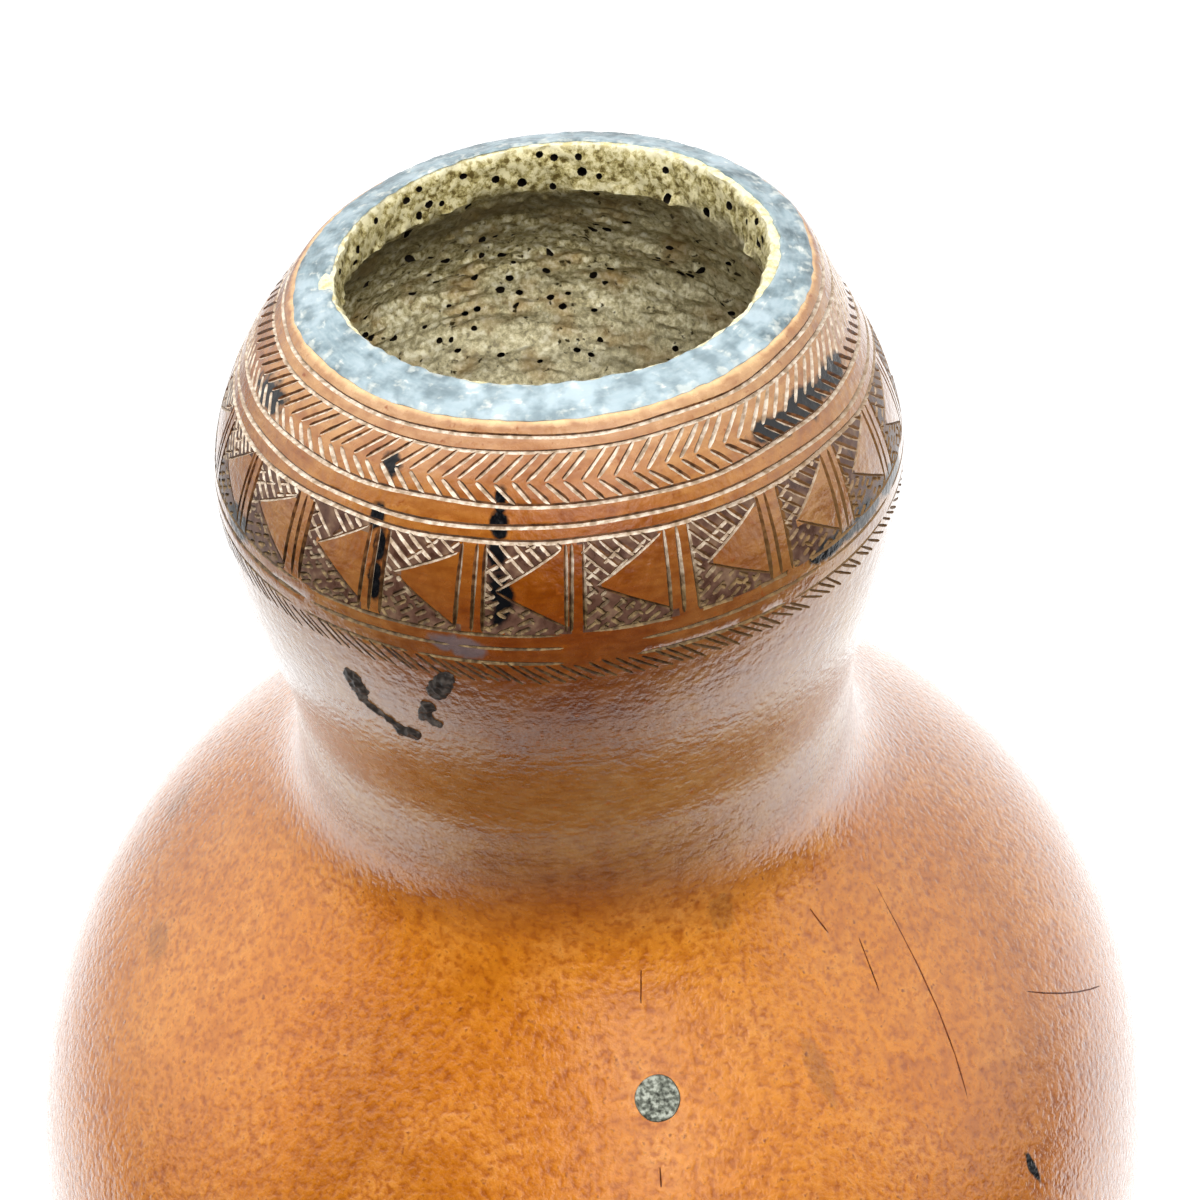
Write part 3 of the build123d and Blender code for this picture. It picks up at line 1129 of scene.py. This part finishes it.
print("pith finished")

# %% [markdown]
# The beetle holes are nearly black to the bottom. Black alone would look painted, so a little noise
# leaves brown in them.

# %% Beetle hole finish
tree, shader, spot = finish_tree(pith, 1)
hole_noise = grain(tree, spot, 700, 3)
rough = ramp(tree, hole_noise, (0.3, "d0d0d0"), (0.7, "f0f0f0"))
dress(tree, shader, ramp(tree, hole_noise, (0.3, "060403"), (0.7, "1c140c")), rough, hole_noise, 0.2 * mm)
print("beetle holes finished")

# %% [markdown]
# ### Lip coat
# The coat on the lip, taken here for pitch, is a cloudy blue-grey in the photo. Pitch is dark, so that
# blue-grey is in part the coat's own grey and in part painted reflection, the room's glare on it. Brush
# strokes run round it. On Object coordinates they would run straight across, so their pattern lies on
# turn and radius. The front is paler, a painted highlight as in the photo's light. Scuffs cloud the
# coat, and worn flecks gather at its two edges.

# %% Lip finish
coat.data.materials.append(bpy.data.materials.new("lip pitch"))
tree, shader, spot = finish_tree(coat, 0)
x, y, _ = node(tree, "SeparateXYZ", {0: spot}).outputs
turn = maths(tree, "ARCTAN2", x, maths(tree, "MULTIPLY", y, -1.0))
radius = node(tree, "VectorMath", {0: spot, 1: (1, 1, 0)}, operation="MULTIPLY").outputs[0]
radius = node(tree, "VectorMath", {0: radius}, operation="LENGTH").outputs["Value"]
round_lip = node(tree, "CombineXYZ", {0: maths(tree, "MULTIPLY", turn, 0.012), 1: radius}).outputs[0]
cloud = grain(tree, spot, 150, 4)
mist = grain(tree, spot, 520, 5)
brush = grain(tree, round_lip, 1500, 4)
# The blue-grey ramp is partly the coat's own grey and partly painted glare.
base_colour = ramp(tree, cloud, (0.34, "6c8087"), (0.5, "8fa3aa"), (0.66, "adbec5"))
# The paler front is a painted highlight.
painted_front_highlight = maths(tree, "MULTIPLY", mask(tree, y, -0.022, -0.034), 0.45)
base_colour = mix(tree, painted_front_highlight, base_colour, colour("c0d2d9"))
strokes = maths(tree, "MULTIPLY", mask(tree, brush, 0.4, 0.75), 0.5)
base_colour = mix(tree, strokes, base_colour, colour("bccace"))
flecks = maths(tree, "MULTIPLY", mask(tree, brush, 0.55, 0.68), mask(tree, mist, 0.54, 0.64))
base_colour = mix(tree, flecks, base_colour, colour("eceee4"))
scuff = grain(tree, spot, 300, 6)
base_colour = clouded(tree, 0.6, base_colour, scuff, (0.36, "a8b0b2"), (0.56, "ffffff"))
edges = maths(tree, "MAXIMUM", mask(tree, radius, 0.0348, 0.033), mask(tree, radius, 0.0372, 0.0392))
wear = mask(tree, maths(tree, "ADD", maths(tree, "MULTIPLY", edges, 0.12), mist), 0.6, 0.72)
base_colour = mix(tree, maths(tree, "MULTIPLY", wear, 0.55), base_colour, colour("d6dad2"))
relief = maths(tree, "ADD", mist, maths(tree, "MULTIPLY", brush, 0.5))
dress(tree, shader, base_colour, ramp(tree, cloud, (0.3, "606060"), (0.7, "8a8a8a")), relief, 0.15 * mm)
print("lip finished")

# %% [markdown]
# ### Plug and mastic
# The plug is a grey paste with dark and pale grit, so a fine noise runs through a wide ramp. The mastic
# in the cracks is darker and smoother, smeared and dusty. The three dabs are the same stuff and share
# one finish.

# %% Plug and mastic finishes
plug.data.materials.append(bpy.data.materials.new("plug paste"))
tree, shader, spot = finish_tree(plug, 0)
grit = grain(tree, spot, 1300, 4)
base_colour = ramp(tree, grit, (0.32, "2e2f28"), (0.47, "6c7064"), (0.66, "bcc0b2"))
dress(tree, shader, base_colour, ramp(tree, grit, (0.3, "a0a0a0"), (0.7, "d8d8d8")), grit, 0.3 * mm)
mastic = bpy.data.materials.new("mastic")
for dab in dabs.values():
    dab.data.materials.append(mastic)
tree, shader, spot = finish_tree(dab, 0)
smear = grain(tree, spot, 700, 4)
base_colour = ramp(tree, smear, (0.3, "151210"), (0.5, "302a26"), (0.7, "5a524c"))
dress(tree, shader, base_colour, ramp(tree, smear, (0.3, "909090"), (0.7, "c8c8c8")), smear, 0.2 * mm)
shader.inputs["Specular IOR Level"].default_value = 0.25
print("plug and mastic finished")

# %% [markdown]
# ## Stage
# The gourd stands on a plain white floor in a white room. More lamps would whiten the floor, but they
# would bleach the gourd too. So the floor glows a little for the camera alone, more so far off, and
# keeps the shadow near the gourd. For mirror rays it glows in two broad patches, left and right, and is
# dark in front, as a room with windows is. The polish shows them as soft sheen on the hips.

# %% Floor
bpy.ops.object.select_all(action="DESELECT")
bpy.ops.mesh.primitive_circle_add(vertices=64, radius=4, fill_type="NGON", location=(0, 0, -0.1 * mm))
floor = bpy.context.object
floor.name = "floor"
floor.data.materials.append(bpy.data.materials.new("floor"))
tree, shader, spot = finish_tree(floor, 0)
ray = node(tree, "LightPath", {})
across_floor, depth, _ = node(tree, "SeparateXYZ", {0: spot}).outputs
aside = maths(tree, "MULTIPLY", maths(tree, "ABSOLUTE", across_floor, 0), -0.3)
edge = mask(tree, maths(tree, "ADD", depth, aside), -0.305, -0.23)
right_light = maths(tree, "MULTIPLY", mask(tree, across_floor, 0.02, 0.16), 0.95)
left_light = mask(tree, across_floor, -0.02, -0.2)
left_light = maths(tree, "MULTIPLY", left_light, mask(tree, across_floor, -0.6, -0.28))
left_light = maths(tree, "MULTIPLY", left_light, 0.75)
mirrored = maths(tree, "ADD", maths(tree, "ADD", left_light, right_light), 0.2)
mirrored = maths(tree, "MULTIPLY", mirrored, edge)
glow = maths(tree, "MULTIPLY", ray.outputs["Is Glossy Ray"], mirrored)
distance = node(tree, "VectorMath", {0: spot}, operation="LENGTH").outputs["Value"]
white = mask(tree, distance, 0.4, 1.2, 0.65, 1.0)
glow = maths(tree, "ADD", glow, maths(tree, "MULTIPLY", ray.outputs["Is Camera Ray"], white))
unseen = maths(tree, "MULTIPLY", ray.outputs["Is Glossy Ray"], maths(tree, "SUBTRACT", 1.0, edge))
floor_colour = mix(tree, unseen, colour("c8c8c8"), colour("000000"))
tree.links.new(floor_colour, shader.inputs["Base Color"])
shader.inputs["Roughness"].default_value = 0.9
shader.inputs["Emission Color"].default_value = (1, 1, 1, 1)
tree.links.new(glow, shader.inputs["Emission Strength"])
print("floor", [round(v, 1) for v in floor.dimensions.xy], "m")

# %% [markdown]
# The world is the room. The camera sees it white. It lights the gourd only faintly, which leaves the
# modelling to the lamps. Mirror rays see a bright back wall and a window above the front, which put the
# sheen on neck and shoulder.

# %% World
world = bpy.data.worlds.new("white room")
bpy.context.scene.world = world
world.use_nodes = True
tree = world.node_tree
ray = node(tree, "LightPath", {})
way = node(tree, "TexCoord", {}).outputs["Generated"]
right, back, _ = node(tree, "SeparateXYZ", {0: way}).outputs
behind = mask(tree, maths(tree, "ADD", back, maths(tree, "MULTIPLY", right, 0.15)), -0.66, -0.2)
behind = maths(tree, "MULTIPLY", behind, mask(tree, right, -0.3, 0.3, 0.82, 1.0))
towards = reach_along(tree, way, (0.14, -0.78, 0.61))
mirrored = maths(tree, "MAXIMUM", behind, maths(tree, "MULTIPLY", mask(tree, towards, 0.89, 0.995), 0.9))
strength = node(tree, "Mix", {0: ray.outputs["Is Glossy Ray"], 2: 0.15, 3: mirrored}).outputs[0]
seen = maths(tree, "MAXIMUM", ray.outputs["Is Camera Ray"], ray.outputs["Is Transmission Ray"])
strength = node(tree, "Mix", {0: seen, 2: strength, 3: 1.0}).outputs[0]
backdrop = tree.nodes["Background"]
backdrop.inputs["Color"].default_value = (1, 1, 1, 1)
tree.links.new(strength, backdrop.inputs["Strength"])
print("world", world.name)

# %% [markdown]
# Two soft lamps light the gourd at a plain level: a wide one from above and the left, and a smaller one
# from the front. Spot lamps would throw hard shadows into the cuts. Mirror rays don't see the lamps,
# because a square shine would give them away.

# %% Lamps
def softbox(name, place, target, size, power):
    """A square soft lamp that faces a point."""
    bpy.ops.object.light_add(type="AREA", location=place)
    lamp = bpy.context.object
    lamp.name = name
    lamp.data.size = size
    lamp.data.energy = power
    lamp.rotation_euler = (Vector(target) - Vector(place)).to_track_quat("-Z", "Y").to_euler()
    return lamp


sky = softbox("sky", (-0.4, 0.1, 1.15), (0, 0, 0.25), 1.3, 12.5)
window = softbox("window", (0.2, -0.75, 1.05), (0, 0, 0.25), 0.6, 11.5)
sky.visible_glossy = False
window.visible_glossy = False
bpy.context.scene.view_settings.view_transform = "Standard"
print(sky.name, sky.data.energy, "W,", window.name, window.data.energy, "W")

# %% [markdown]
# ## Tie the pieces to the frame
# Each piece takes the place of its CAD node and rides on the one body, because nothing on a gourd
# moves.

# %% Tie the pieces
ties = [(rind, "gourd_rind", "rind"), (pith, "pith_lining", "pith"), (coat, "lip_blacking", "blacking")]
ties += [(plug, "belly_plug", "plug_mastic")] + [(dab, key, "crack_mastic") for key, dab in dabs.items()]
for piece, cad_node, slot in ties:
    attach(piece, "root")
    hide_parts(cad_node)
